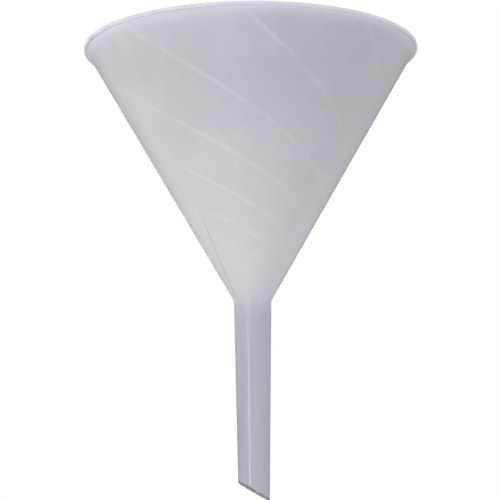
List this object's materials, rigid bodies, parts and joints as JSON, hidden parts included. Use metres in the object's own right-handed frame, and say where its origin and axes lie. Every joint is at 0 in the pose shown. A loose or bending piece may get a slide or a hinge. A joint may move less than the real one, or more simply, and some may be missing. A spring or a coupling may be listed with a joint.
{
  "type": "long-stem filling funnel",
  "caption": "Translucent plastic funnel: a lipped cone with spiral ribs inside, on a long tapered stem with a slanted tip, for filling narrow-necked bottles and jars.",
  "frame": {"origin": "on the axis, at the height where the outside of the cone meets the stem; a bottle's neck holds the funnel just above it", "axes": "+Z along the axis, up to the wide mouth; +X towards the long side of the slanted tip"},
  "size_m": [0.1498, 0.1498, 0.2022],
  "materials": {
    "natural_polypropylene": "undyed milky translucent polypropylene, semi-gloss as moulded"
  },
  "bodies": {
    "root": {"funnel_body": "natural_polypropylene"}
  },
  "joints": []
}
